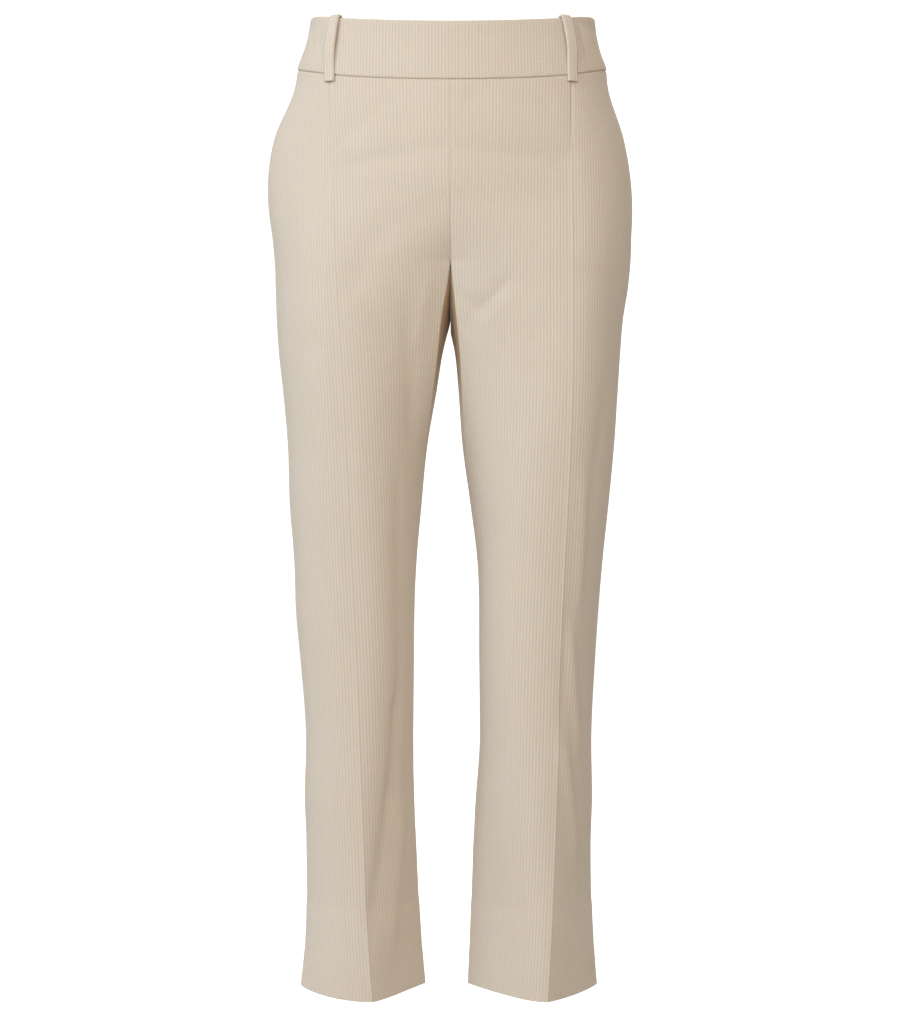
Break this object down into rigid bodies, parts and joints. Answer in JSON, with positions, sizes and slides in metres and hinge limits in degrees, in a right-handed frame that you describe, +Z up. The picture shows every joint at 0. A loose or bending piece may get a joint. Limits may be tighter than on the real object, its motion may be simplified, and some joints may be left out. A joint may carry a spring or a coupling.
{
  "type": "corduroy trousers",
  "caption": "High-waisted straight trousers in fine-ribbed beige corduroy, pressed down the legs, with belt loops and side pockets, hollow as worn.",
  "frame": {"origin": "centre of the waistband at half its height, where the wearer's waist holds the trousers", "axes": "+Z up the body, -Y to the front, +X to the wearer's left"},
  "size_m": [0.3576, 0.2214, 0.9599],
  "materials": {
    "corduroy": "eight-wale cotton corduroy, brushed pile",
    "corduroy_trim": "eight-wale cotton corduroy, folded and topstitched"
  },
  "bodies": {
    "root": {"front_panel_right": "corduroy", "front_panel_left": "corduroy", "back_panel_right": "corduroy", "back_panel_left": "corduroy", "waistband_front": "corduroy", "waistband_back_right": "corduroy", "waistband_back_left": "corduroy", "pocket_facing_right": "corduroy_trim", "pocket_facing_left": "corduroy_trim", "belt_loop_front_right": "corduroy_trim", "belt_loop_front_left": "corduroy_trim", "belt_loop_back_right": "corduroy_trim", "belt_loop_back_left": "corduroy_trim"}
  },
  "joints": []
}
